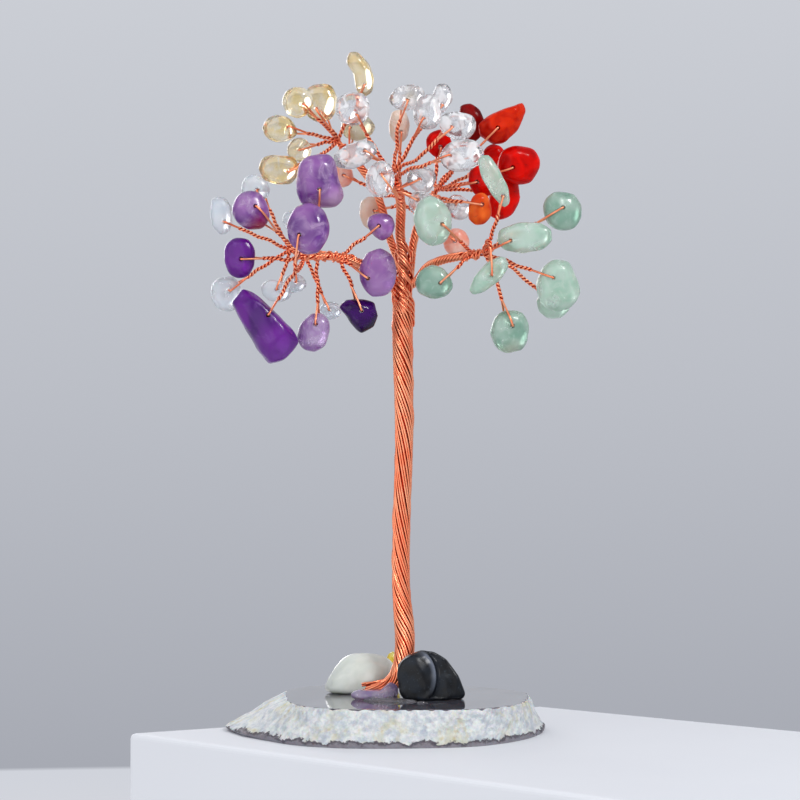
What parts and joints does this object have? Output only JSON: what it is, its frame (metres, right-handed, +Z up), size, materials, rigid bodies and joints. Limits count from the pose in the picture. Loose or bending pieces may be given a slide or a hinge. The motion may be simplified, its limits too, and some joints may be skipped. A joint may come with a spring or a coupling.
{
  "type": "gemstone tree ornament",
  "caption": "Free-standing gemstone tree: twisted copper-wire trunk and branches holding drilled stone chips that rock on wire loops, on an agate slice with tumbled stones.",
  "frame": {"origin": "middle of the flat underside of the agate slice", "axes": "+Z up along the trunk, +X to the right and -Y to the front as seen from the front"},
  "size_m": [0.0798, 0.0579, 0.1461],
  "materials": {
    "agate": "polished top, rough rim",
    "white_stone": "polished",
    "black_stone": "polished",
    "glue": "clear",
    "copper_wire": "bright copper",
    "amethyst": "polished translucent",
    "citrine": "polished translucent",
    "clear_quartz": "polished clear",
    "red_jasper": "polished",
    "green_aventurine": "polished translucent",
    "aquamarine": "polished translucent",
    "pink_quartz": "polished translucent"
  },
  "bodies": {
    "tree": {"agate_slice": "agate", "white_tumbled_stone": "white_stone", "black_tumbled_stone": "black_stone", "amethyst_foot_stone": "amethyst", "citrine_foot_chip": "citrine", "glue_pad": "glue", "trunk_wires": "copper_wire", "amethyst_branch": "copper_wire", "citrine_branch": "copper_wire", "clear_quartz_branch": "copper_wire", "red_jasper_branch": "copper_wire", "green_aventurine_branch": "copper_wire", "aquamarine_branch": "copper_wire", "aquamarine_chips": "aquamarine", "pink_quartz_branch": "copper_wire", "pink_quartz_chips": "pink_quartz"},
    "amethyst_chip_1": {"amethyst_chip_1": "amethyst"},
    "amethyst_chip_2": {"amethyst_chip_2": "amethyst"},
    "amethyst_chip_3": {"amethyst_chip_3": "amethyst"},
    "amethyst_chip_4": {"amethyst_chip_4": "amethyst"},
    "amethyst_chip_5": {"amethyst_chip_5": "amethyst"},
    "amethyst_chip_6": {"amethyst_chip_6": "amethyst"},
    "amethyst_chip_7": {"amethyst_chip_7": "amethyst"},
    "amethyst_chip_8": {"amethyst_chip_8": "amethyst"},
    "amethyst_chip_9": {"amethyst_chip_9": "amethyst"},
    "citrine_chip_1": {"citrine_chip_1": "citrine"},
    "citrine_chip_2": {"citrine_chip_2": "citrine"},
    "citrine_chip_3": {"citrine_chip_3": "citrine"},
    "citrine_chip_4": {"citrine_chip_4": "citrine"},
    "citrine_chip_5": {"citrine_chip_5": "citrine"},
    "citrine_chip_6": {"citrine_chip_6": "citrine"},
    "citrine_chip_7": {"citrine_chip_7": "citrine"},
    "clear_quartz_chip_1": {"clear_quartz_chip_1": "clear_quartz"},
    "clear_quartz_chip_2": {"clear_quartz_chip_2": "clear_quartz"},
    "clear_quartz_chip_3": {"clear_quartz_chip_3": "clear_quartz"},
    "clear_quartz_chip_4": {"clear_quartz_chip_4": "clear_quartz"},
    "clear_quartz_chip_5": {"clear_quartz_chip_5": "clear_quartz"},
    "clear_quartz_chip_6": {"clear_quartz_chip_6": "clear_quartz"},
    "clear_quartz_chip_7": {"clear_quartz_chip_7": "clear_quartz"},
    "clear_quartz_chip_8": {"clear_quartz_chip_8": "clear_quartz"},
    "clear_quartz_chip_9": {"clear_quartz_chip_9": "clear_quartz"},
    "clear_quartz_chip_10": {"clear_quartz_chip_10": "clear_quartz"},
    "clear_quartz_chip_11": {"clear_quartz_chip_11": "clear_quartz"},
    "red_jasper_chip_1": {"red_jasper_chip_1": "red_jasper"},
    "red_jasper_chip_2": {"red_jasper_chip_2": "red_jasper"},
    "red_jasper_chip_3": {"red_jasper_chip_3": "red_jasper"},
    "red_jasper_chip_4": {"red_jasper_chip_4": "red_jasper"},
    "red_jasper_chip_5": {"red_jasper_chip_5": "red_jasper"},
    "red_jasper_chip_6": {"red_jasper_chip_6": "red_jasper"},
    "red_jasper_chip_7": {"red_jasper_chip_7": "red_jasper"},
    "red_jasper_chip_8": {"red_jasper_chip_8": "red_jasper"},
    "green_aventurine_chip_1": {"green_aventurine_chip_1": "green_aventurine"},
    "green_aventurine_chip_2": {"green_aventurine_chip_2": "green_aventurine"},
    "green_aventurine_chip_3": {"green_aventurine_chip_3": "green_aventurine"},
    "green_aventurine_chip_4": {"green_aventurine_chip_4": "green_aventurine"},
    "green_aventurine_chip_5": {"green_aventurine_chip_5": "green_aventurine"},
    "green_aventurine_chip_6": {"green_aventurine_chip_6": "green_aventurine"},
    "green_aventurine_chip_7": {"green_aventurine_chip_7": "green_aventurine"},
    "green_aventurine_chip_8": {"green_aventurine_chip_8": "green_aventurine"},
    "green_aventurine_chip_9": {"green_aventurine_chip_9": "green_aventurine"}
  },
  "joints": [
    {"name": "amethyst_chip_1_swing", "type": "hinge", "parent": "tree", "child": "amethyst_chip_1", "pos_m": [-0.01417, -0.01345, 0.1153], "axis": [0.1736, -0.9794, -0.1029], "range_deg": [-10, 10]},
    {"name": "amethyst_chip_2_swing", "type": "hinge", "parent": "tree", "child": "amethyst_chip_2", "pos_m": [-0.01732, -0.01995, 0.10488], "axis": [-0.1392, -0.9848, 0.1035], "range_deg": [-10, 10]},
    {"name": "amethyst_chip_3_swing", "type": "hinge", "parent": "tree", "child": "amethyst_chip_3", "pos_m": [-0.02779, -0.01378, 0.11111], "axis": [0.309, -0.9366, 0.1651], "range_deg": [-10, 10]},
    {"name": "amethyst_chip_4_swing", "type": "hinge", "parent": "tree", "child": "amethyst_chip_4", "pos_m": [-0.02958, -0.01188, 0.10089], "axis": [-0.2756, -0.9519, -0.1338], "range_deg": [-10, 10]},
    {"name": "amethyst_chip_5_swing", "type": "hinge", "parent": "tree", "child": "amethyst_chip_5", "pos_m": [-0.02511, -0.01219, 0.08813], "axis": [0.1736, -0.9752, 0.1371], "range_deg": [-10, 10]},
    {"name": "amethyst_chip_6_swing", "type": "hinge", "parent": "tree", "child": "amethyst_chip_6", "pos_m": [-0.01426, -0.00856, 0.08713], "axis": [-0.1533, -0.9866, -0.0563], "range_deg": [-10, 10]},
    {"name": "amethyst_chip_7_swing", "type": "hinge", "parent": "tree", "child": "amethyst_chip_7", "pos_m": [-0.0054, -0.00838, 0.09025], "axis": [0.2079, -0.9633, -0.1699], "range_deg": [-10, 10]},
    {"name": "amethyst_chip_8_swing", "type": "hinge", "parent": "tree", "child": "amethyst_chip_8", "pos_m": [-0.00316, -0.01001, 0.09661], "axis": [-0.1736, -0.9848, 0], "range_deg": [-10, 10]},
    {"name": "amethyst_chip_9_swing", "type": "hinge", "parent": "tree", "child": "amethyst_chip_9", "pos_m": [-0.00172, -0.00629, 0.10756], "axis": [0.2419, -0.9491, 0.2017], "range_deg": [-10, 10]},
    {"name": "citrine_chip_1_swing", "type": "hinge", "parent": "tree", "child": "citrine_chip_1", "pos_m": [-0.00474, 0.00221, 0.13884], "axis": [0.2079, -0.9781, 0], "range_deg": [-10, 10]},
    {"name": "citrine_chip_2_swing", "type": "hinge", "parent": "tree", "child": "citrine_chip_2", "pos_m": [-0.01433, 0.0038, 0.13424], "axis": [-0.2419, -0.9609, -0.135], "range_deg": [-10, 10]},
    {"name": "citrine_chip_3_swing", "type": "hinge", "parent": "tree", "child": "citrine_chip_3", "pos_m": [-0.01788, -0.00218, 0.13432], "axis": [0.259, -0.963, -0.0741], "range_deg": [-10, 10]},
    {"name": "citrine_chip_4_swing", "type": "hinge", "parent": "tree", "child": "citrine_chip_4", "pos_m": [-0.02126, 0.00086, 0.12922], "axis": [0.2079, -0.9491, 0.2366], "range_deg": [-10, 10]},
    {"name": "citrine_chip_5_swing", "type": "hinge", "parent": "tree", "child": "citrine_chip_5", "pos_m": [-0.01828, 0.00712, 0.12595], "axis": [-0.262, -0.8872, -0.3797], "range_deg": [-10, 10]},
    {"name": "citrine_chip_6_swing", "type": "hinge", "parent": "tree", "child": "citrine_chip_6", "pos_m": [-0.0211, -0.00198, 0.12009], "axis": [0.2396, -0.9497, -0.2016], "range_deg": [-10, 10]},
    {"name": "citrine_chip_7_swing", "type": "hinge", "parent": "tree", "child": "citrine_chip_7", "pos_m": [-0.00725, 0.00934, 0.13016], "axis": [-0.2048, -0.9696, 0.1343], "range_deg": [-10, 10]},
    {"name": "clear_quartz_chip_1_swing", "type": "hinge", "parent": "tree", "child": "clear_quartz_chip_1", "pos_m": [-0.00649, -0.0028, 0.13224], "axis": [0.2079, -0.9633, -0.1699], "range_deg": [-10, 10]},
    {"name": "clear_quartz_chip_2_swing", "type": "hinge", "parent": "tree", "child": "clear_quartz_chip_2", "pos_m": [-0.00453, -0.00878, 0.12353], "axis": [0.161, -0.9848, 0.065], "range_deg": [-10, 10]},
    {"name": "clear_quartz_chip_3_swing", "type": "hinge", "parent": "tree", "child": "clear_quartz_chip_3", "pos_m": [-0.00038, -0.01036, 0.11875], "axis": [-0.171, -0.9826, -0.073], "range_deg": [-10, 10]},
    {"name": "clear_quartz_chip_4_swing", "type": "hinge", "parent": "tree", "child": "clear_quartz_chip_4", "pos_m": [0.00444, 0.00142, 0.13583], "axis": [0.2396, -0.9561, -0.1688], "range_deg": [-10, 10]},
    {"name": "clear_quartz_chip_5_swing", "type": "hinge", "parent": "tree", "child": "clear_quartz_chip_5", "pos_m": [0.00861, -0.005, 0.13111], "axis": [-0.2059, -0.9727, -0.1075], "range_deg": [-10, 10]},
    {"name": "clear_quartz_chip_6_swing", "type": "hinge", "parent": "tree", "child": "clear_quartz_chip_6", "pos_m": [0.01212, 0.00376, 0.13502], "axis": [0.2017, -0.9616, -0.1859], "range_deg": [-10, 10]},
    {"name": "clear_quartz_chip_7_swing", "type": "hinge", "parent": "tree", "child": "clear_quartz_chip_7", "pos_m": [0.01379, -0.00886, 0.12906], "axis": [0.2382, -0.9483, -0.2099], "range_deg": [-10, 10]},
    {"name": "clear_quartz_chip_8_swing", "type": "hinge", "parent": "tree", "child": "clear_quartz_chip_8", "pos_m": [0.01426, -0.01058, 0.12232], "axis": [-0.2406, -0.9644, 0.11], "range_deg": [-10, 10]},
    {"name": "clear_quartz_chip_9_swing", "type": "hinge", "parent": "tree", "child": "clear_quartz_chip_9", "pos_m": [0.00697, -0.00376, 0.11829], "axis": [0.2419, -0.965, -0.1014], "range_deg": [-10, 10]},
    {"name": "clear_quartz_chip_10_swing", "type": "hinge", "parent": "tree", "child": "clear_quartz_chip_10", "pos_m": [0.00726, -0.00841, 0.11343], "axis": [-0.2034, -0.9746, -0.0933], "range_deg": [-10, 10]},
    {"name": "clear_quartz_chip_11_swing", "type": "hinge", "parent": "tree", "child": "clear_quartz_chip_11", "pos_m": [0.01495, 0.00084, 0.11261], "axis": [0.221, -0.9385, 0.2654], "range_deg": [-10, 10]},
    {"name": "red_jasper_chip_1_swing", "type": "hinge", "parent": "tree", "child": "red_jasper_chip_1", "pos_m": [0.01892, 0.00523, 0.12939], "axis": [-0.2396, -0.9562, -0.1684], "range_deg": [-10, 10]},
    {"name": "red_jasper_chip_2_swing", "type": "hinge", "parent": "tree", "child": "red_jasper_chip_2", "pos_m": [0.02363, -0.00142, 0.12874], "axis": [0.1736, -0.9752, 0.1371], "range_deg": [-10, 10]},
    {"name": "red_jasper_chip_3_swing", "type": "hinge", "parent": "tree", "child": "red_jasper_chip_3", "pos_m": [0.02679, -0.00043, 0.12117], "axis": [0.2068, -0.9656, -0.1577], "range_deg": [-10, 10]},
    {"name": "red_jasper_chip_4_swing", "type": "hinge", "parent": "tree", "child": "red_jasper_chip_4", "pos_m": [0.02341, 0.00849, 0.12313], "axis": [-0.2079, -0.9633, -0.1699], "range_deg": [-10, 10]},
    {"name": "red_jasper_chip_5_swing", "type": "hinge", "parent": "tree", "child": "red_jasper_chip_5", "pos_m": [0.01162, 0.0052, 0.126], "axis": [0.2079, -0.9633, -0.1699], "range_deg": [-10, 10]},
    {"name": "red_jasper_chip_6_swing", "type": "hinge", "parent": "tree", "child": "red_jasper_chip_6", "pos_m": [0.01996, -0.00312, 0.11774], "axis": [-0.2048, -0.969, -0.1381], "range_deg": [-10, 10]},
    {"name": "red_jasper_chip_7_swing", "type": "hinge", "parent": "tree", "child": "red_jasper_chip_7", "pos_m": [0.02559, 0.00446, 0.11636], "axis": [0.1727, -0.9848, -0.0182], "range_deg": [-10, 10]},
    {"name": "red_jasper_chip_8_swing", "type": "hinge", "parent": "tree", "child": "red_jasper_chip_8", "pos_m": [0.02025, -0.00775, 0.11256], "axis": [0.2048, -0.969, -0.1381], "range_deg": [-10, 10]},
    {"name": "green_aventurine_chip_1_swing", "type": "hinge", "parent": "tree", "child": "green_aventurine_chip_1", "pos_m": [0.02463, -0.01559, 0.11352], "axis": [0.1261, -0.9903, 0.0588], "range_deg": [-10, 10]},
    {"name": "green_aventurine_chip_2_swing", "type": "hinge", "parent": "tree", "child": "green_aventurine_chip_2", "pos_m": [0.01157, -0.01657, 0.10774], "axis": [0.171, -0.9826, -0.073], "range_deg": [-10, 10]},
    {"name": "green_aventurine_chip_3_swing", "type": "hinge", "parent": "tree", "child": "green_aventurine_chip_3", "pos_m": [0.02662, -0.0142, 0.10461], "axis": [-0.1732, -0.9735, -0.1491], "range_deg": [-10, 10]},
    {"name": "green_aventurine_chip_4_swing", "type": "hinge", "parent": "tree", "child": "green_aventurine_chip_4", "pos_m": [0.03699, -0.00798, 0.11119], "axis": [0.2419, -0.9556, 0.1685], "range_deg": [-10, 10]},
    {"name": "green_aventurine_chip_5_swing", "type": "hinge", "parent": "tree", "child": "green_aventurine_chip_5", "pos_m": [0.01213, -0.01211, 0.09585], "axis": [-0.2079, -0.9686, -0.1361], "range_deg": [-10, 10]},
    {"name": "green_aventurine_chip_6_swing", "type": "hinge", "parent": "tree", "child": "green_aventurine_chip_6", "pos_m": [0.02215, -0.01779, 0.09729], "axis": [0.1184, -0.9661, -0.2292], "range_deg": [-10, 10]},
    {"name": "green_aventurine_chip_7_swing", "type": "hinge", "parent": "tree", "child": "green_aventurine_chip_7", "pos_m": [0.03482, -0.01164, 0.09704], "axis": [0.1736, -0.9752, -0.1371], "range_deg": [-10, 10]},
    {"name": "green_aventurine_chip_8_swing", "type": "hinge", "parent": "tree", "child": "green_aventurine_chip_8", "pos_m": [0.03495, -0.00368, 0.09261], "axis": [-0.2079, -0.9686, -0.1361], "range_deg": [-10, 10]},
    {"name": "green_aventurine_chip_9_swing", "type": "hinge", "parent": "tree", "child": "green_aventurine_chip_9", "pos_m": [0.02633, -0.00979, 0.08695], "axis": [0.2079, -0.9686, -0.1361], "range_deg": [-10, 10]}
  ]
}
